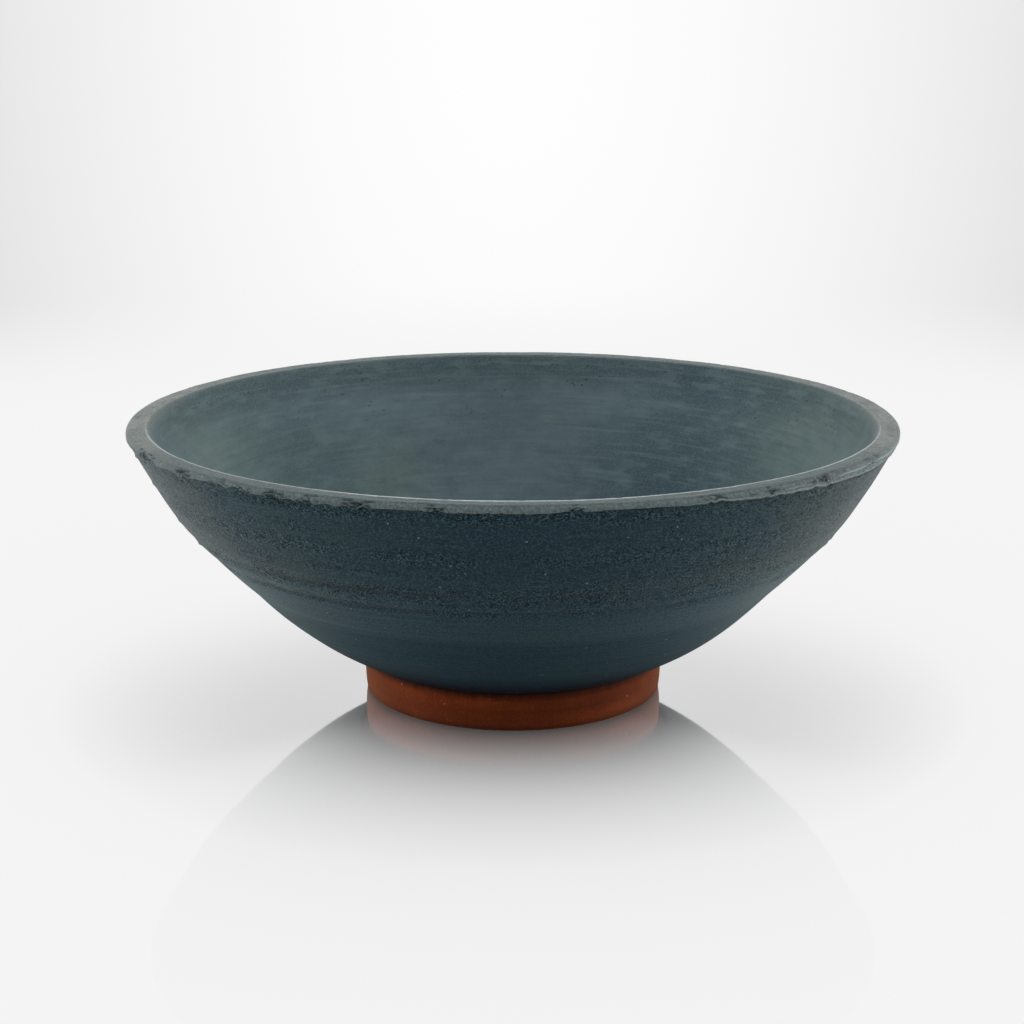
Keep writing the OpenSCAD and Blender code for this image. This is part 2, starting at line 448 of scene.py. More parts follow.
def shell_faces(rows, columns, closed):
    """Quads, and for an open shell also the triangles round its two end points"""
    if closed:
        return grid_faces(rows, columns, True).tolist()
    first = (rows - 2) * columns
    top = first - columns
    column = np.arange(columns)
    side = (column + 1) % columns
    starts = np.stack([np.full(columns, first), side, column], axis=1)
    ends = np.stack([top + column, top + side, np.full(columns, first + 1)], axis=1)
    return grid_faces(rows - 2, columns, False).tolist() + starts.tolist() + ends.tolist()


def in_order(grid, closed):
    """What a grid holds at each point of its shell; an open shell's two end points come last"""
    if closed:
        return grid.reshape(-1, *grid.shape[2:])
    inner = grid[1:-1].reshape(-1, *grid.shape[2:])
    return np.concatenate([inner, grid[0, :1], grid[-1, :1]])


def linked(name, data):
    """A new object in the scene"""
    made = bpy.data.objects.new(name, data)
    bpy.context.scene.collection.objects.link(made)
    return made


def turned_mesh(name, rows, closed, values):
    """Mesh of rows of (distance from the axis, height) points, rows x columns x 2.
    An open shell's first and last rows are single points on the axis.
    Named values are given for the first rows, and are nothing on the hidden rows after them."""
    count, columns = rows.shape[:2]
    turn = np.arange(columns) * TAU / columns
    points = settled(np.stack([
        rows[..., 0] * np.cos(turn), rows[..., 0] * np.sin(turn), rows[..., 1]], axis=-1))
    mesh = bpy.data.meshes.new(name)
    mesh.from_pydata((in_order(points, closed) * MM).tolist(), [], shell_faces(count, columns, closed))
    for label, value in (values or {}).items():
        whole = np.zeros((count, columns))
        whole[:len(value)] = value
        layer = mesh.attributes.new(label, "FLOAT", "POINT")
        layer.data.foreach_set("value", in_order(whole, closed).astype(np.float32))
    mesh.validate()
    mesh.shade_smooth()
    mesh.update()
    return linked(name, mesh)


def spread(outline, columns):
    """The same outline on every column"""
    return np.repeat(outline[:, None, :], columns, axis=1)


def pushed(outline, push, closed):
    """The outline on every column, with each point pushed along its normal"""
    return outline[:, None, :] + push[..., None] * outline_normals(outline, closed)[:, None, :]


def dressed(name, node, material, rows, closed, values=None):
    """One turned piece in the place of a node of the solids"""
    piece = turned_mesh(name, rows, closed, values)
    piece.data.materials.append(material)
    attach(piece, "root")
    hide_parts(node)


def wall_texture(level):
    """How coarse the turned clay is at each height up the outside"""
    return sum(coarse * bump_curve(level, centre, half) for centre, half, coarse in COARSE_BANDS)


def outside_relief(face, lengths):
    """Swell, turning lines, drag dents, grit and burrs on the outside coat"""
    relief = ReliefMap(lengths[-1], RIM_R, OUTSIDE_SEED)
    level = np.interp(relief.up, lengths, face[:, 1])
    rough = wall_texture(level)
    patchy = np.clip(relief.noise(3, 14) * 0.5 + 0.8, 0.1, 2.0)
    relief.height += SWELL_H * bump_curve(level, SWELL_LEVEL, SWELL_HALF)
    low_right = bump_curve(level, *LOW_SWELL_LEVEL) * bump_curve(FROM_FRONT, *LOW_SWELL_TURN)
    relief.height += LOW_SWELL_H * low_right
    relief.height += 0.05 * relief.noise(8, 60)
    relief.height += 0.014 * relief.noise(1.4, 80) * (0.3 + rough)
    relief.height += 0.01 * relief.noise(1.2, 4) * rough * patchy
    drags = rough * patchy ** 2
    relief.stamp(drags, *DRAG_DENTS)
    relief.stamp(drags + 0.05, *DRAG_GRAINS)
    relief.stamp(bump_curve(level, *EDGE_LEVEL) * LIP_EDGE.torn, *EDGE_DENTS)
    fade = np.clip(0.65 + 0.4 * relief.noise(30, 25), 0, 1.2)
    for groove in GROOVE_LEVELS:
        relief.height -= GROOVE_DEPTH * bump_curve(level, groove, GROOVE_W) * fade
    for degrees, height, size in BURRS:
        around = np.radians(FROM_FRONT - degrees) * RIM_R
        burr = bump_curve(level, height, BURR_HALF_UP) * bump_curve(around, 0, BURR_HALF_AROUND)
        relief.height += size * burr
    return relief


def second_lap(level):
    """A second dip's coat on the right: its share of full thickness, a painted shadow under its edge, and a
    painted highlight on its edge
    """
    run = smooth_step(FROM_FRONT, LAP_START, LAP_START + 5) * (1 - smooth_step(FROM_FRONT, *LAP_END))
    wander = 0.12 * ring_noise(np.random.default_rng(LAP_SEED), 8, RIM_R)
    line = PROFILE.band_z + 0.1 - LAP_DROP * smooth_step(FROM_FRONT, LAP_START, LAP_FULL) + wander
    above = smooth_step(level, line - 0.2, line + 0.15) * run
    # Painted shadow just under the edge, and a painted highlight on the edge
    below = bump_curve(level, line - 0.5, 0.28) * run
    edge = bump_curve(level, line + 0.15, 0.25) * run
    return above, below, edge


def shown_wall(face, lengths, relief, rise):
    """The outside coat's face with its relief, and with its top edge where the lip's coat ends"""
    lip_a = PROFILE.lip_a
    climb_share = smooth_step(lengths, lengths[-1] - TOP_FOLLOWS, lengths[-1])
    here = lengths[:, None] + climb_share[:, None] * rise / math.cos(lip_a)
    # The wall goes on above the coat's top in the direction that it has there
    ahead = face[-1] + np.array([-math.sin(lip_a), math.cos(lip_a)]) * 2
    long_face = np.concatenate([face, [ahead]])
    long_lengths = lengths_along(long_face)
    normal = outline_normals(long_face, False)
    push = relief.at(lengths, len(rise))
    push *= (1 - 0.4 * smooth_step(lengths, lengths[-1] - TOP_CALMS, lengths[-1]))[:, None]
    return np.stack([
        np.interp(here, long_lengths, long_face[:, k]) + push * np.interp(here, long_lengths, normal[:, k])
        for k in (0, 1)], axis=-1)


def rolled_edge(rise):
    """The outside coat's way back down its contact face and round its rolled lower edge"""
    p = PROFILE
    columns = len(rise)
    back = spread(p.outside_face(OUTSIDE_COAT_T, p.coat_base_a, p.clay_lip_a, 2, 3)[::-1], columns)
    back[0, :, 1] += rise
    back[0, :, 0] += rise * math.tan(-p.lip_a)
    outward = np.array([math.cos(p.coat_base_a), math.sin(p.coat_base_a)])
    edge_c = p.low_c + (p.low_r - OUTSIDE_COAT_T / 2) * outward
    edge = arc(edge_c, OUTSIDE_COAT_T / 2, p.coat_base_a + math.pi, p.coat_base_a + TAU, 7)[1:-1]
    wander = 0.22 * ring_noise(np.random.default_rng(COAT_EDGE_SEED), 12, RIM_R)[::MAP_COLUMNS // columns]
    down = np.array([outward[1], -outward[0]])
    return np.concatenate([back, spread(edge, columns) + wander[:, None] * down])


def make_outside_coat(material):
    p = PROFILE
    dense_a = p.lip_a - math.radians(DENSE_TOP)
    face = joined(
        p.outside_face(0, p.coat_base_a, dense_a, 26, 48),
        arc(p.high_c, p.high_r, dense_a, p.lip_a, 16))
    lengths = lengths_along(face)
    relief = outside_relief(face, lengths)
    level = np.interp(relief.up, lengths, face[:, 1])
    lap, lap_edge_shadow, lap_edge_highlight = second_lap(level)
    relief.height += LAP_T * lap
    relief.height *= smooth_step(relief.up, 0, 1.5)
    rise = LIP_EDGE.at(WALL_COLUMNS)[0]
    rows = np.concatenate([shown_wall(face, lengths, relief, rise), rolled_edge(rise)])
    # Painted shade in the dents and under the lap's edge, the lap itself and a painted highlight on its edge
    # also show in the colour
    low = np.clip((lengths / MAP_STEP).astype(int), 0, relief.rows - 1)
    dents, lap, lap_edge_shadow, lap_edge_highlight = (
        whole[low][:, ::MAP_COLUMNS // WALL_COLUMNS]
        for whole in (relief.height - LAP_T * lap, lap, lap_edge_shadow, lap_edge_highlight))
    swell = SWELL_H * bump_curve(np.interp(lengths, relief.up[:, 0], level[:, 0]), SWELL_LEVEL, SWELL_HALF)
    marks = dent_marks(dents - swell[:, None], 0.16, 0.4) + lap_edge_shadow
    values = {"marks": marks, "lap": lap, "line": lap_edge_highlight}
    dressed("outside_coat_dressed", "outside_coat", material, rows, True, values)


def inside_relief(lengths):
    """Faint throwing rings and soft unevenness on the inside coat"""
    relief = ReliefMap(lengths[-1], RIM_R, INSIDE_SEED)
    well_end = FLOOR_R + WELL_R * (PROFILE.well_a + math.pi / 2)
    top = lengths[-1] - 8
    wall = smooth_step(relief.up, well_end - 4, well_end + 4) * (1 - smooth_step(relief.up, top, top + 4))
    wobble = 0.8 * relief.noise(40, 80)
    rings = np.cos(TAU * (relief.up - well_end + wobble) / RING_PITCH)
    fade = np.clip(0.6 + 0.4 * relief.noise(12, 60), 0, 1.2)
    relief.height += RING_DEPTH / 2 * (rings - 1) * wall * fade
    relief.height += 0.03 * relief.noise(10, 50) * smooth_step(relief.up, 2, 14)
    return relief


def over_the_lip():
    """Over the crown and down the lip's outer face, with points closest at the crown's inner edge, where a
    highlight is painted
    """
    p = PROFILE
    share = np.linspace(0, 1, 8)[:, None] ** 2
    crown_top = (1 - share) * np.array([p.lip_in_c[0], HEIGHT]) + share * np.array([p.lip_out_c[0], HEIGHT])
    return joined(
        crown_top,
        arc(p.lip_out_c, LIP_OUTER_ROUND, math.pi / 2, 0, 9),
        straight((RIM_R, HEIGHT - LIP_OUTER_ROUND), (RIM_R, p.band_z), 3))


def lip_relief(relief, round_start, crown_start):
    """The crown of the lip is softly uneven, its outer face is pitted and torn along its edge"""
    crown = smooth_step(relief.up, round_start, crown_start)
    relief.height -= crown * 0.04 * (1 + relief.noise(1.2, 9))
    relief.height -= crown * 0.03 * np.abs(relief.noise(0.6, 0.9))
    band_share = smooth_step(relief.up, crown_start + 3.4, crown_start + 4.6)
    relief.stamp(crown ** 4 * np.clip(relief.noise(2, 10), 0, 2), *CROWN_DENTS)
    relief.stamp(band_share * LIP_EDGE.torn ** 2, *LIP_TEARS)


def lip_drop(level):
    """How far down the lip's outer face a height is"""
    return smooth_step(level, HEIGHT - 0.5, PROFILE.band_z)


def lip_values(level, lengths, round_start, crown_start, push):
    """What the lip's colours need to know at each shown point of the inside coat"""
    every = MAP_COLUMNS // push.shape[1]
    turn = FROM_FRONT[::every]
    aside = np.abs(turn)
    past_crown = lengths > crown_start
    # The lip's colour sets in softly at the two far ends
    lip_start = round_start - 0.4 - 1.8 * bump_curve(aside, 85, 22)
    lip = smooth_step(lengths, lip_start, crown_start)
    # A highlight is painted on the lip's two sides, where the side light grazes it, and less of it at its
    # back
    highlight_turn = smooth_step(aside, 46, 80) * (1 - 0.72 * smooth_step(aside, 98, 150))
    pale = smooth_step(lengths, lip_start + 0.4, crown_start) * highlight_turn
    # A painted highlight along the crown's inner edge: wider in front, where the crown is foreshortened, a
    # thin line towards the sides, and faint towards the back
    front_share = 0.1 + 0.9 * smooth_step(-aside, -88, -55)
    nearness = bump_curve(turn, 0, 32)
    line = bump_curve(lengths, crown_start - 0.35 + 0.5 * nearness, 0.24 + 0.14 * nearness) * front_share
    # A painted highlight also runs along the band's lower edge above the second dip
    lap_share = smooth_step(turn, LAP_START + 18, LAP_START + 34) * (1 - smooth_step(turn, *LAP_END))
    line += 0.45 * bump_curve(level, PROFILE.band_z + 0.15, 0.3) * past_crown * lap_share
    # Painted shade in the lip's dents
    marks = dent_marks(push, 0.2, 0.6) * smooth_step(lengths, round_start, crown_start)
    worn = lip_drop(level) * past_crown * bump_curve(level, HEIGHT - 1.2, 0.75) * bump_curve(turn, 45.5, 4.6)
    torn = bump_curve(level, PROFILE.band_z + 0.35, 0.6) * past_crown * LIP_EDGE.torn[::every]
    return {"marks": marks, "lip": lip, "pale": pale, "line": line, "worn": worn, "torn": torn}


def make_inside_coat(material):
    p = PROFILE
    columns = LIP_COLUMNS
    face = p.inside_face(0, 4, 8, 24, LIP_ROUND_STEPS)
    whole = joined(face, over_the_lip())
    lengths = lengths_along(whole)
    crown_start = lengths[len(face) - 1]
    round_start = lengths[len(face) - 1 - LIP_ROUND_STEPS]
    relief = inside_relief(lengths)
    lip_relief(relief, round_start, crown_start)
    push = relief.at(lengths, columns)
    on_lip = smooth_step(lengths, round_start, crown_start)[:, None] > 0.5
    push = np.where(on_lip, np.clip(push, *LIP_RELIEF), np.clip(push, *INSIDE_RELIEF))
    rows = pushed(whole, -push, False)
    rise, overhang = LIP_EDGE.at(columns)
    down = lip_drop(whole[:, 1]) * (lengths > crown_start)
    rows[..., 1] += down[:, None] * rise
    pull = LIP_OVERHANG * (1 - overhang)
    rows[..., 0] -= down[:, None] ** 2 * pull
    # Under the band, over the clay's edge and back down to the axis
    under = spread(np.array([
        [RIM_R - LIP_OVERHANG * 0.35, p.band_z - 0.02], [RIM_R - LIP_OVERHANG, p.band_z],
        [p.clay_lip_r, p.band_z]]), columns)
    under[..., 1] += rise
    under[0, :, 0] -= pull * 0.6
    back = spread(joined(p.clay_edge(2), p.inside_face(INSIDE_COAT_T, 1, 2, 4, 2)[::-1]), columns)
    everything = np.concatenate([rows, under, back])
    everything[0] = (0, p.floor_z)
    values = lip_values(whole[:, 1:], lengths[:, None], round_start, crown_start, push)
    values["lip"] = np.concatenate([values["lip"], np.ones(under.shape[:2])])
    dressed("inside_coat_dressed", "inside_coat", material, everything, False, values)


def make_clay_bowl(material):
    p = PROFILE
    strip = arc(p.low_c, p.low_r - OUTSIDE_COAT_T, p.heel_a, p.coat_base_a, 6)
    wall = p.outside_face(OUTSIDE_COAT_T, p.coat_base_a, p.clay_lip_a, 6, 10)
    under = straight((0, FOOT_H), (p.heel_r, FOOT_H), 40)
    whole = joined(under, strip, wall, p.clay_edge(4), p.inside_face(INSIDE_COAT_T, 2, 5, 10, 4)[::-1])
    lengths = lengths_along(whole)
    relief = ReliefMap(lengths[-1], HEEL_R, CLAY_SEED)
    shown = smooth_step(relief.up, *UNDERSIDE_START) * (1 - smooth_step(relief.up, *UNDERSIDE_END))
    relief.height -= shown * (0.1 + 0.05 * np.cos(TAU * relief.up / UNDERSIDE_PITCH))
    relief.height -= shown * 0.02 * np.abs(relief.noise(0.5, 30))
    relief.stamp(shown, *CLAY_DENTS)
    rows = pushed(whole, relief.at(lengths, WALL_COLUMNS), False)
    rows[0] = (0, FOOT_H)
    rows[-1, :, 0] = 0
    dressed("clay_bowl_dressed", "clay_bowl", material, rows, False)


def foot_outline():
    """The foot's outer face up to its bevel, and the whole way round"""
    p = PROFILE
    wall_h = RING_TOP - FOOT_TOP_BEVEL - FOOT_ROUND
    wall_r = bow_radius(wall_h, FOOT_BOW)
    wall_c = np.array([p.foot_r - wall_r, FOOT_ROUND + wall_h / 2])
    wall_a = bearing(wall_c, (p.foot_edge_r, FOOT_ROUND + wall_h))
    round_c = (p.foot_edge_r - FOOT_ROUND, FOOT_ROUND)
    bevel_in = (p.foot_edge_r - FOOT_TOP_BEVEL, RING_TOP)
    outer = joined(
        arc(round_c, FOOT_ROUND, -math.pi / 2, 0, 8),
        arc(wall_c, wall_r, -wall_a, wall_a, 26),
        straight((p.foot_edge_r, RING_TOP - FOOT_TOP_BEVEL), bevel_in, 4))
    corners = (
        bevel_in, (p.foot_in_r, RING_TOP), (p.foot_in_r, FOOT_INNER_BEVEL),
        (p.foot_in_r + FOOT_INNER_BEVEL, 0), (round_c[0], 0))
    legs = zip(corners, corners[1:], (8, 14, 5, 10))
    return outer, joined(outer, *(straight(*leg) for leg in legs))[:-1]


def foot_relief(lengths, outer_end):
    """Turning lines, soft unevenness and dents where the foot is free, and grooves near its top"""
    relief = ReliefMap(lengths[-1], HEEL_R, FOOT_SEED)
    shown = 1 - smooth_step(relief.up, outer_end - 0.4, outer_end)
    inner_wall = smooth_step(relief.up, outer_end + 7.5, outer_end + 8.5)
    on_table = smooth_step(relief.up, lengths[-1] - 5.8, lengths[-1] - 5.2)
    free = np.clip(shown + inner_wall, 0, 1)
    relief.height -= free * 0.01 * np.abs(relief.noise(0.5, 30))
    relief.height -= free * 0.04 * (1 + relief.noise(3, 25))
    relief.stamp(free, *FOOT_DENTS)
    fade = np.clip(0.6 + 0.5 * relief.noise(10, 30), 0, 1)
    relief.height -= 0.06 * bump_curve(relief.up, outer_end - 1.9, 0.4) * fade
    relief.height *= 1 - on_table
    return relief


def make_foot_ring(material):
    outer, whole = foot_outline()
    lengths = lengths_along(whole)
    relief = foot_relief(lengths, lengths[len(outer) - 1])
    push = np.minimum(relief.at(lengths, FOOT_COLUMNS), 0.0)
    rows = pushed(whole, push, True)
    rows[..., 1] = np.maximum(rows[..., 1], 0)
    # Painted shade in the foot's dents
    values = {"marks": dent_marks(push, 0.14, 0.3)}
    dressed("foot_ring_dressed", "foot_ring", material, rows, True, values)


def make_luting_slip(material):
    p = PROFILE
    random = np.random.default_rng(SLIP_SEED)
    quarter = math.pi / 2
    middle = (RING_TOP + FOOT_H) / 2
    round_r = (FOOT_H - RING_TOP) / 2
    inner = p.foot_in_r + SLIP_SET_IN + round_r
    outer = p.foot_edge_r - FOOT_TOP_BEVEL - SLIP_SET_IN - round_r
    whole = joined(
        arc((outer, middle), round_r, -quarter, quarter, 8),
        straight((outer, FOOT_H), (inner, FOOT_H), 3),
        arc((inner, middle), round_r, quarter, 3 * quarter, 8),
        straight((inner, RING_TOP), (outer, RING_TOP), 3))[:-1]
    rows = spread(whole, FOOT_COLUMNS)
    for side, edge in ((1, rows[..., 0] > outer), (-1, rows[..., 0] < inner)):
        squeeze = 0.12 * ring_noise(random, 5, HEEL_R)[::MAP_COLUMNS // FOOT_COLUMNS]
        rows[..., 0] += np.where(edge, side * np.clip(squeeze, -0.25, 0.25), 0)
    dressed("luting_slip_dressed", "luting_slip", material, rows, True)


# Materials: screen colours from 0 to 255, lengths in metres

COAT_SPECULAR = 0.04
COAT_BLOOM_ROUGHNESS = 0.37
OUTSIDE_BLOOM = 0.46
INSIDE_BLOOM = 0.13
LIP_BLOOM = 0.2
BLOOM_TINT = (0.97, 0.99, 0.96, 1.0)
LOW_WALL_TINT = (0.66, 0.85, 0.94, 1.0)
LOW_BLOOM_TINT = (0.8, 0.96, 0.95, 1.0)
# Heights: where the low wall's tint sets in and is full, where the bloom sets in and is full,
# and where the painted shade towards the outside's lower edge, above the foot, sets in and is full
LOW_WALL = (0.054, 0.044)
BLOOM_CLIMB = (0.011, 0.057)
SHADE_ABOVE_FOOT = (0.0195, 0.0122)
# How high the outside's pale crumbs lie, and how far they reach up and down
CRUMBS = (0.012, 0.0006)
# Heights inside where painted shade darkens the coat towards the rim, and where the dark flecks gather
SHADE_UNDER_RIM = (0.061, 0.071)
FLECKS_GATHER = (0.05, 0.068)
CLAY_LOOK = {
    "Specular IOR Level": 0.06, "Sheen Weight": 0.38, "Sheen Tint": (1.0, 0.58, 0.38, 1.0),
    "Sheen Roughness": 0.45}
SLIP_ROUGHNESS = 0.85
# Dark and light colours of the lip's outer face, of its crown and of the highlight painted on its sides
LIP_BAND = ((78, 91, 93), (108, 118, 118))
LIP_CROWN = ((62, 76, 78), (80, 94, 96))
LIP_HIGHLIGHT = ((102, 108, 106), (134, 138, 134))
# Features that run round the bowl keep their length at the first radius, turn straight inside
# the second, and count the way inward as height inside the third
TURN_RADIUS = 0.09
CENTRE_RADIUS = 0.03
FLOOR_RADIUS = 0.04


class Nodes:
    """Short names for the nodes of one node tree"""

    def __init__(self, tree):
        self.tree = tree

    def node(self, kind, inputs=None, **settings):
        made = self.tree.nodes.new("ShaderNode" + kind)
        for key, value in settings.items():
            setattr(made, key, value)
        for key, value in (inputs or {}).items():
            self.put(made.inputs[key], value)
        return made

    def put(self, socket, value):
        if isinstance(value, bpy.types.NodeSocket):
            self.tree.links.new(value, socket)
        else:
            socket.default_value = value

    def math(self, operation, first, second=0.0):
        return self.node("Math", {0: first, 1: second}, operation=operation).outputs[0]

    def times(self, first, second):
        return self.math("MULTIPLY", first, second)

    def plus(self, first, second):
        return self.math("ADD", first, second)

    def minus(self, first, second):
        return self.math("SUBTRACT", first, second)

    def larger(self, first, second):
        return self.math("MAXIMUM", first, second)

    def smaller(self, first, second):
        return self.math("MINIMUM", first, second)

    def absolute(self, value):
        return self.math("ABSOLUTE", value)

    def fit(self, value, low, high, out_low=0.0, out_high=1.0):
        inputs = {"Value": value, "From Min": low, "From Max": high, "To Min": out_low, "To Max": out_high}
        return self.node("MapRange", inputs, interpolation_type="SMOOTHSTEP").outputs["Result"]

    def split(self, vector):
        return self.node("SeparateXYZ", {0: vector}).outputs

    def length(self, vector):
        return self.node("VectorMath", {0: vector}, operation="LENGTH").outputs["Value"]

    def looked_at(self):
        """One for what the camera and reflections see, and nothing for the light"""
        paths = self.node("LightPath").outputs
        return self.larger(
            paths["Is Camera Ray"], self.larger(paths["Is Glossy Ray"], paths["Is Transmission Ray"]))


class Shade(Nodes):
    """One procedural material, whose colour is laid on in coats from the ground up"""

    def __init__(self, name):
        self.material = bpy.data.materials.new(name)
        self.material.use_nodes = True
        super().__init__(self.material.node_tree)
        self.bsdf = self.tree.nodes["Principled BSDF"]
        self.colour = None

    def place(self):
        return self.node("TexCoord").outputs["Object"]

    def attribute(self, name):
        return self.node("Attribute", attribute_name=name).outputs["Fac"]

    def height(self):
        return self.split(self.place())["Z"]

    def flat_place(self):
        parts = self.split(self.place())
        return self.node("CombineXYZ", {"X": parts["X"], "Y": parts["Y"]}).outputs[0]

    def round_place(self, along, up):
        """Coordinates that run round the bowl, for features so long along and so high up.
        Near the axis they run straight across the floor, and there the way inward counts as height."""
        flat = self.flat_place()
        away = self.length(flat)
        turn_scale = self.math("DIVIDE", TURN_RADIUS / along, self.larger(away, CENTRE_RADIUS))
        wide = self.node("VectorMath", {0: flat, "Scale": turn_scale}, operation="SCALE")
        turn = self.split(wide.outputs[0])
        inward = self.larger(self.minus(FLOOR_RADIUS, away), 0.0)
        rise = self.times(self.plus(self.height(), inward), 1 / up)
        return self.node("CombineXYZ", {"X": turn["X"], "Y": turn["Y"], "Z": rise}).outputs[0]

    def noise(self, vector, scale, detail, rough):
        inputs = {"Vector": vector, "Scale": scale, "Detail": detail, "Roughness": rough}
        return self.node("TexNoise", inputs).outputs["Fac"]

    def round_noise(self, along, up, detail, rough):
        return self.noise(self.round_place(along, up), 1, detail, rough)

    def cells(self, vector, scale):
        return self.node("TexVoronoi", {"Vector": vector, "Scale": scale}).outputs["Distance"]

    def rare_specks(self, scale, rarity_scale, rarity):
        """Small round specks, only where broad noise is high"""
        specks = self.fit(self.cells(self.place(), scale), 0.1, 0.05)
        broad = self.noise(self.place(), rarity_scale, 1, 0.5)
        return self.times(specks, self.fit(broad, rarity, rarity + 0.08))

    def contours(self, vector, middle, width):
        """Thin winding lines, where smooth noise passes a middle value"""
        off = self.absolute(self.minus(self.noise(vector, 1, 1, 0.5), middle))
        return self.fit(off, width / 4, width, 1.0, 0.0)

    def band(self, centre, width):
        """One at the given height and nothing a width away from it"""
        return self.fit(self.absolute(self.minus(self.height(), centre)), 0.0, width, 1.0, 0.0)

    def mix(self, share, first, second, blend="MIX"):
        made = self.node("Mix", data_type="RGBA", blend_type=blend)
        for name, value in (("Factor_Float", share), ("A_Color", first), ("B_Color", second)):
            socket = next(s for s in made.inputs if s.identifier == name)
            self.put(socket, value)
        return next(s for s in made.outputs if s.identifier == "Result_Color")

    def screen_mix(self, share, first, second):
        return self.mix(share, srgb(*first), srgb(*second))

    def paint(self, share, *screen_colour):
        """One more coat over the colour so far"""
        self.colour = self.mix(share, self.colour, srgb(*screen_colour))

    def coats(self, *coats):
        """Coats by a value each: (value, where it sets in, where it is full, full share, screen colour)"""
        for value, start, full, share, screen_colour in coats:
            self.paint(self.fit(value, start, full, 0, share), *screen_colour)

    def bump(self, height, strength, distance, after=None):
        inputs = {"Height": height, "Strength": strength, "Distance": distance}
        if after is not None:
            inputs["Normal"] = after
        return self.node("Bump", inputs).outputs["Normal"]

    def finished(self, roughness, normal, more):
        inputs = {"Base Color": self.colour, "Roughness": roughness, "Normal": normal, **more}
        for key, value in inputs.items():
            self.put(self.bsdf.inputs[key], value)
        return self.material

    def layered(self, share, first, second):
        return self.node("MixShader", {0: share, 1: first, 2: second}).outputs[0]


def coat_look(bloom, tint):
    """A matt glaze: little gloss face on, and a pale bloom at grazing angles"""
    return {
        "Specular IOR Level": COAT_SPECULAR, "Sheen Weight": bloom, "Sheen Tint": tint,
        "Sheen Roughness": COAT_BLOOM_ROUGHNESS}


def coarse_share(s, level):
    """Where the outside is coarse: the patches in bands by height, and the whole with the even ground"""
    bands = None
    for centre, half, coarse in COARSE_BANDS:
        one = s.times(s.band(centre * MM, 2 * half * MM), coarse)
        bands = one if bands is None else s.larger(bands, one)
    patches = s.times(bands, s.fit(s.round_noise(0.014, 0.004, 2, 0.5), 0.3, 0.6, 0.4, 1.15))
    # The left side is smoother under the lip
    side = s.split(s.place())["X"]
    smoother = s.times(s.fit(side, -0.03, -0.07), s.fit(level, 0.064, 0.069, 0, 0.5))
    patches = s.times(patches, s.minus(1.0, smoother))
    return patches, s.larger(patches, s.fit(level, 0.03, 0.045, 0.2, 0.36))


def pits_and_scratches(s, stipple, coarse, dragged):
    """Dark pits, light grit and winding scratches. Returns how much bloom the dark ones take away."""
    s.paint(s.times(s.fit(stipple, 0.5, 0.38), coarse), 5, 21, 29)
    s.paint(s.times(s.fit(stipple, 0.53, 0.65, 0, 0.8), coarse), 78, 101, 105)
    # Scratches with light edges, where grit was dragged through the clay
    broken = s.fit(s.round_noise(0.006, 0.002, 2, 0.5), 0.4, 0.6, 0.5, 1.3)
    scratched = s.smaller(s.times(s.fit(dragged, 0.25, 0.85), broken), 1.0)
    winding = s.round_place(0.0008, 0.0006)
    s.paint(s.times(s.contours(winding, 0.6, 0.04), scratched), 62, 84, 90)
    scratches = s.times(s.times(s.contours(winding, 0.5, 0.05), scratched), 0.8)
    s.paint(scratches, 5, 17, 23)
    pits = s.times(s.fit(stipple, 0.52, 0.4, 0, 0.85), s.smaller(coarse, 1.0))
    return s.larger(pits, scratches)


def outside_lines(s, level, stipple):
    """Painted shade in the turning grooves, towards the lower edge above the foot and in the dents; the
    second dip's coat with a painted highlight on its edge; pale crumbs and specks
    """
    # Painted shade in the turning grooves
    for groove in GROOVE_LEVELS:
        s.paint(s.times(s.band(groove * MM, GROOVE_W * MM), 0.3), 14, 32, 42)
    # Painted shade darkens the coat towards its lower edge above the foot, with pale crumbs along that edge
    s.coats((level, *SHADE_ABOVE_FOOT, 0.75, (15, 21, 32)))
    crumbs = s.fit(s.round_noise(0.0016, 0.0007, 2, 0.6), 0.64, 0.7)
    s.paint(s.times(crumbs, s.band(*CRUMBS)), 104, 106, 102)
    # Painted shade in the dents, and a painted shadow under the second dip's edge
    s.paint(s.times(s.attribute("marks"), 0.75), 7, 18, 25)
    lap_colour = s.screen_mix(s.fit(stipple, 0.35, 0.65), (78, 94, 95), (110, 126, 125))
    s.colour = s.mix(s.attribute("lap"), s.colour, lap_colour)
    # Painted highlight on the second dip's edge
    s.paint(s.times(s.attribute("line"), 0.7), 140, 152, 150)
    s.paint(s.rare_specks(330, 160, 0.52), 120, 134, 134)


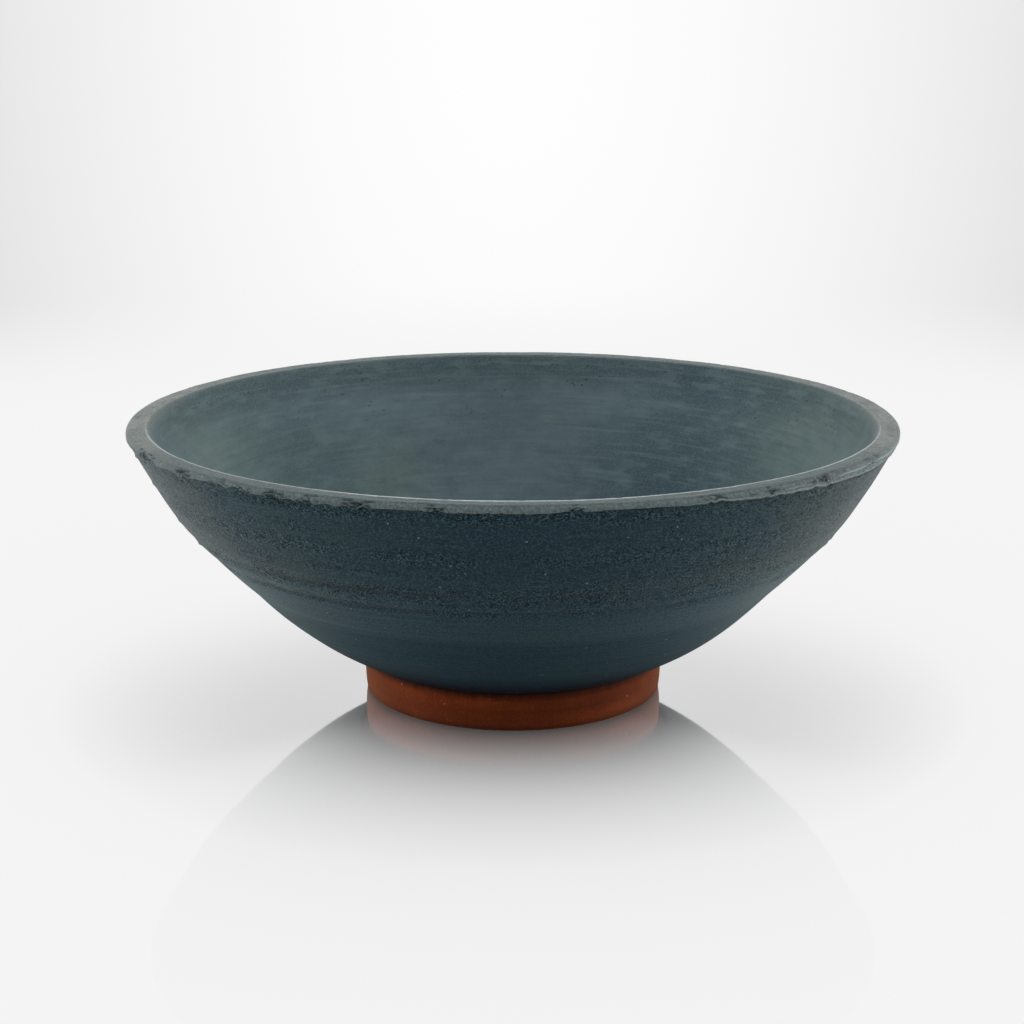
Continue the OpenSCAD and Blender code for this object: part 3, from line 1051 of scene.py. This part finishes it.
def outside_coat_material():
    s = Shade("outside_coat_glaze")
    place = s.place()
    level = s.height()
    side = s.split(place)["X"]
    streaks = s.round_noise(0.05, 0.0011, 3, 0.6)
    broad = s.round_noise(0.09, 0.012, 2, 0.5)
    grain = s.noise(place, 2400, 3, 0.7)
    stipple = s.round_noise(0.0005, 0.0004, 2, 0.6)
    s.colour = s.screen_mix(s.fit(broad, 0.3, 0.7), (28, 51, 61), (31, 57, 68))
    s.coats(
        (s.noise(place, 45, 3, 0.5), 0.4, 0.75, 1.0, (33, 58, 60)),
        (streaks, 0.5, 0.75, 0.3, (44, 70, 78)),
        (streaks, 0.5, 0.25, 0.4, (17, 36, 46)),
        (grain, 0.5, 0.6, 0.5, (54, 78, 86)),
        (grain, 0.5, 0.4, 0.5, (14, 31, 39)))
    # The left and right sides, where the side light grazes, get a warmer mottled tone: mottling with painted
    # sheen
    aside = s.fit(s.absolute(side), 0.035, 0.08)
    warm_side_sheen = s.times(s.fit(s.noise(place, 55, 3, 0.6), 0.42, 0.62), aside)
    s.paint(s.times(warm_side_sheen, 0.5), 50, 63, 59)
    patches, coarse = coarse_share(s, level)
    # They are also coarser between the bands, above the middle of the wall
    beside = s.plus(s.fit(side, 0.0, 0.045, 0.0, 0.5), s.fit(side, -0.025, -0.065, 0.0, 0.4))
    beside = s.times(beside, s.fit(level, 0.041, 0.048))
    coarse = s.larger(coarse, beside)
    bare = pits_and_scratches(s, stipple, coarse, s.plus(patches, beside))
    low_wall = s.fit(level, *LOW_WALL)
    s.colour = s.mix(low_wall, s.colour, LOW_WALL_TINT, "MULTIPLY")
    outside_lines(s, level, stipple)
    # The bloom thins out towards the foot and leaves the pits bare
    bloom = s.times(s.fit(level, *BLOOM_CLIMB, 0.0, OUTSIDE_BLOOM), s.minus(1.0, bare))
    look = coat_look(bloom, s.mix(low_wall, BLOOM_TINT, LOW_BLOOM_TINT))
    normal = s.bump(streaks, 0.35, 0.0002)
    normal = s.bump(s.times(stipple, coarse), 0.4, 0.0002, normal)
    normal = s.bump(grain, 0.3, 0.00012, normal)
    return s.finished(s.fit(grain, 0.3, 0.7, 0.52, 0.68), normal, look)


def lip_coat(s, level, lip, lip_grain):
    """The lip's colour, with painted highlights on its sides and along its inner edge, a worn place, painted
    shade in its dents, and dashes where it tore when wiped
    """
    by_grain = s.fit(lip_grain, 0.36, 0.66)
    band, crown, pale = (s.screen_mix(by_grain, *colours) for colours in (LIP_BAND, LIP_CROWN, LIP_HIGHLIGHT))
    colour = s.mix(s.fit(level, (HEIGHT - 0.6) * MM, (HEIGHT - 0.02) * MM), band, crown)
    # Painted highlight on the lip's two sides, mottled and strongest at the top
    top = s.fit(level, (HEIGHT - 2.2) * MM, (HEIGHT - 0.5) * MM, 0.35, 0.95)
    mottled = s.times(top, s.fit(s.noise(s.place(), 130, 3, 0.6), 0.35, 0.6, 0.55, 1.0))
    colour = s.mix(s.times(s.attribute("pale"), mottled), colour, pale)
    s.colour = s.mix(lip, s.colour, colour)
    # Painted highlight along the crown's inner edge, and along the band's lower edge above the second dip
    s.paint(s.attribute("line"), 188, 198, 196)
    s.paint(s.times(s.attribute("worn"), s.fit(lip_grain, 0.4, 0.52)), 78, 52, 47)
    dashes = s.contours(s.round_place(0.0015, 0.0006), 0.5, 0.06)
    s.paint(s.times(s.fit(s.attribute("torn"), 0.2, 0.75, 0.0, 0.95), dashes), 12, 21, 26)
    # Painted shade in the lip's dents
    s.paint(s.times(s.attribute("marks"), 0.7), 14, 22, 26)


def inside_coat_material():
    s = Shade("inside_coat_glaze")
    place = s.place()
    level = s.height()
    lip = s.attribute("lip")
    streaks = s.round_noise(0.03, 0.0012, 4, 0.65)
    smudge = s.round_noise(0.009, 0.003, 3, 0.6)
    grain = s.noise(place, 2000, 3, 0.7)
    lip_grain = s.noise(place, 1700, 4, 0.65)
    s.colour = s.screen_mix(s.fit(s.noise(place, 17, 3, 0.55), 0.38, 0.62), (93, 109, 105), (90, 107, 115))
    # Painted shade darkens the coat under the rim, and it is a little darker where it pooled
    s.coats(
        (s.round_noise(0.026, 0.009, 4, 0.6), 0.35, 0.68, 0.6, (78, 95, 99)),
        (level, *SHADE_UNDER_RIM, 0.75, (60, 74, 77)))
    for x, y, z, reach, share in POOLED_PLACES:
        far = s.node("VectorMath", {0: place, 1: (x * MM, y * MM, z * MM)}, operation="DISTANCE")
        s.paint(s.fit(far.outputs["Value"], 0.0, reach * MM, share, 0.0), 50, 70, 80)
    s.coats(
        (smudge, 0.45, 0.7, 0.35, (102, 120, 122)),
        (smudge, 0.45, 0.25, 0.45, (66, 83, 88)),
        (streaks, 0.5, 0.72, 0.35, (104, 122, 123)),
        (streaks, 0.5, 0.28, 0.35, (62, 80, 86)),
        (grain, 0.45, 0.65, 0.35, (104, 120, 121)))
    # Dark flecks, thickest in a band under the rim
    flecks = s.fit(s.cells(s.round_place(0.0022, 0.0014), 1), 0.26, 0.12)
    some = s.fit(s.noise(place, 95, 2, 0.5), 0.5, 0.62)
    near_rim = s.fit(level, *FLECKS_GATHER, 0.25, 1.0)
    s.paint(s.times(s.times(s.times(flecks, some), near_rim), 0.7), 46, 60, 66)
    lip_coat(s, level, lip, lip_grain)
    look = coat_look(s.fit(lip, 0.0, 1.0, INSIDE_BLOOM, LIP_BLOOM), BLOOM_TINT)
    normal = s.bump(streaks, 0.2, 0.0002)
    normal = s.bump(s.times(lip_grain, lip), 0.5, 0.0006, normal)
    normal = s.bump(grain, 0.3, 0.0001, normal)
    return s.finished(s.fit(grain, 0.3, 0.7, 0.5, 0.66), normal, look)


def terracotta_material(name, light, dark, has_marks):
    s = Shade(name)
    level = s.height()
    lines = s.round_noise(0.05, 0.0009, 3, 0.55)
    grain = s.noise(s.place(), 2200, 3, 0.6)
    s.colour = s.screen_mix(s.fit(s.round_noise(0.02, 0.006, 3, 0.5), 0.3, 0.7), dark, light)
    s.coats((lines, 0.5, 0.25, 0.2, (78, 26, 10)), (grain, 0.45, 0.75, 0.4, (152, 80, 40)))
    s.paint(s.rare_specks(420, 210, 0.57), 206, 168, 140)
    # Painted shadow of the coat's edge: an uneven dark band on the top of the foot's outer face and on the
    # bare clay above it; painted shade at the foot's lower edge by the floor
    uneven = s.times(s.round_noise(0.006, 0.01, 3, 0.5), 0.0018)
    coat_shadow = s.fit(s.plus(level, uneven), (FOOT_H - 2.5) * MM, (FOOT_H - 0.1) * MM)
    outer_side = s.fit(s.length(s.flat_place()), (HEEL_R - 4) * MM, (HEEL_R - 3) * MM)
    s.paint(s.times(s.times(coat_shadow, outer_side), 0.93), 26, 9, 7)
    s.coats((level, 0.003, 0.0, 0.85, (56, 17, 5)))
    if has_marks:
        # Painted shade in the foot's dents
        s.paint(s.times(s.attribute("marks"), 0.7), 50, 18, 9)
    normal = s.bump(grain, 0.4, 0.00012, s.bump(lines, 0.2, 0.0001))
    return s.finished(s.fit(grain, 0.3, 0.7, 0.72, 0.88), normal, CLAY_LOOK)


def slip_material():
    s = Shade("dried_slip_clay")
    grain = s.noise(s.place(), 1800, 3, 0.6)
    s.colour = s.screen_mix(s.fit(grain, 0.3, 0.7), (70, 28, 18), (104, 46, 30))
    return s.finished(SLIP_ROUGHNESS, s.bump(grain, 0.5, 0.0002), {})


# Studio: floor, light and camera

FLOOR_SIZE = 6.0
FLOOR_DROP = 0.00002
FLOOR_FADE = (0.42, 0.85)
FLOOR_WHITE = 0.912
# What the floor is to the light that falls on the bowl
FLOOR_GREY = (0.45, 0.45, 0.45, 1)
FLOOR_ROUGHNESS = 0.6
# The floor's shadow: how far the bowl darkens it, and how bright it stays in the deepest part
SHADOW_REACH = 0.06
SHADOW_FLOOR = 0.47
# The light from behind opens the shadow there: from where to where, and its share at either end
SHADOW_OPENS = (-0.05, 0.075)
SHADOW_OPEN_SHARE = (0.1, 0.85)
# It is open in front too: from which to which share of the way is towards the front, and how much
SHADOW_FRONT = (0.5, 0.75)
SHADOW_FRONT_OPEN = 0.5
# The floor's reflection: (strength at the axis, way over which it fades) of its near and far part
MIRROR_PARTS = ((18.0, 0.0187), (0.37, 0.0635))
MIRROR_ROUGHNESS = 0.04
LIGHT_TOP = 1.8
LIGHT_SIDE = 6.4
LIGHT_BACK = 2.2
LIGHT_FRONT = 0.7
# The backdrop: its white in the middle, how fast it falls off and how much of that upwards, its grey
BACKDROP_WHITE = 0.99
BACKDROP_FALL = 3.0
BACKDROP_UPWARD = 0.35
BACKDROP_GREY = 0.78
WHITE = (1, 1, 1, 1)


def floor_shadow(s, away):
    """How bright the pale floor is in the bowl's soft shadow, which is open behind and in front"""
    shadow = s.node("AmbientOcclusion", {"Distance": SHADOW_REACH}, samples=8).outputs["AO"]
    back_way = s.split(s.place())["Y"]
    front_share = s.math("DIVIDE", s.times(back_way, -1.0), away)
    opened = s.larger(
        s.fit(back_way, *SHADOW_OPENS, *SHADOW_OPEN_SHARE),
        s.fit(front_share, *SHADOW_FRONT, 0.0, SHADOW_FRONT_OPEN))
    shadow = s.plus(shadow, s.times(s.minus(1.0, shadow), opened))
    return s.plus(s.times(shadow, (1 - SHADOW_FLOOR) * FLOOR_WHITE), SHADOW_FLOOR * FLOOR_WHITE)


def floor_polish(s, away):
    """How much of the floor is mirror, strong at the foot and fading outward"""
    polish = 0.0
    for strength, fade_length in MIRROR_PARTS:
        fading = s.math("EXPONENT", s.times(away, -1 / fade_length))
        polish = s.plus(s.times(fading, strength), polish)
    return s.minus(1.0, s.math("EXPONENT", s.times(polish, -1.0)))


def floor_material():
    """A plain grey floor to the light; to the camera and reflections a pale, polished one"""
    s = Shade("studio_floor_gloss")
    away = s.length(s.place())
    s.put(s.bsdf.inputs["Base Color"], FLOOR_GREY)
    s.put(s.bsdf.inputs["Roughness"], FLOOR_ROUGHNESS)
    pale = s.node("Emission", {"Color": WHITE, "Strength": floor_shadow(s, away)}).outputs[0]
    mirror = s.node("BsdfGlossy", {"Roughness": MIRROR_ROUGHNESS}).outputs[0]
    seen = s.layered(floor_polish(s, away), pale, mirror)
    look = s.layered(s.looked_at(), s.bsdf.outputs[0], seen)
    clear = s.node("BsdfTransparent").outputs[0]
    faded = s.layered(s.fit(away, *FLOOR_FADE), look, clear)
    s.put(s.tree.nodes["Material Output"].inputs["Surface"], faded)
    return s.material


def make_floor():
    mesh = bpy.data.meshes.new("studio_floor")
    half = FLOOR_SIZE / 2
    corners = [(x, y, -FLOOR_DROP) for x, y in ((-half, -half), (half, -half), (half, half), (-half, half))]
    mesh.from_pydata(corners, [], [(0, 1, 2, 3)])
    mesh.materials.append(floor_material())
    linked("studio_floor", mesh)


def make_world():
    """Light that is brightest above, and a pale backdrop that only the camera and reflections see"""
    world = bpy.data.worlds.new("studio")
    bpy.context.scene.world = world
    world.use_nodes = True
    world.node_tree.nodes.clear()
    w = Nodes(world.node_tree)
    x, y, z = w.split(w.node("TexCoord").outputs["Generated"])
    squares = [w.times(part, part) for part in (x, y, z)]
    fourths = [w.times(square, square) for square in squares]
    light = w.times(fourths[2], LIGHT_TOP)
    sides = w.times(fourths[0], fourths[0])
    behind = w.times(fourths[1], w.math("GREATER_THAN", y))
    before = w.times(fourths[1], w.math("LESS_THAN", y))
    for lobe, level in ((sides, LIGHT_SIDE), (behind, LIGHT_BACK), (before, LIGHT_FRONT)):
        light = w.plus(light, w.times(lobe, level))
    # Backdrop: white in the middle behind the bowl and pale grey away from it
    off_middle = w.plus(squares[0], w.times(squares[2], BACKDROP_UPWARD))
    backdrop = w.larger(w.minus(BACKDROP_WHITE, w.times(off_middle, BACKDROP_FALL)), BACKDROP_GREY)
    seen = w.looked_at()
    strength = w.plus(w.times(light, w.minus(1.0, seen)), w.times(backdrop, seen))
    background = w.node("Background", {"Color": WHITE, "Strength": strength})
    w.node("OutputWorld", {"Surface": background.outputs[0]})


def make_camera():
    data = bpy.data.cameras.new("camera")
    data.lens = CAMERA_LENS
    data.sensor_width = CAMERA_SENSOR
    data.clip_start = CAMERA_CLIP
    camera = linked("camera", data)
    camera.location = CAMERA_PLACE
    camera.rotation_euler = (math.radians(CAMERA_TILT), 0, 0)
    bpy.context.scene.camera = camera


make_outside_coat(outside_coat_material())
make_inside_coat(inside_coat_material())
make_clay_bowl(terracotta_material("bare_clay", (124, 62, 34), (104, 44, 21), False))
make_foot_ring(terracotta_material("foot_clay", (113, 48, 18), (100, 39, 12), True))
make_luting_slip(slip_material())
make_floor()
make_world()
make_camera()
bpy.context.scene.view_settings.view_transform = "Standard"
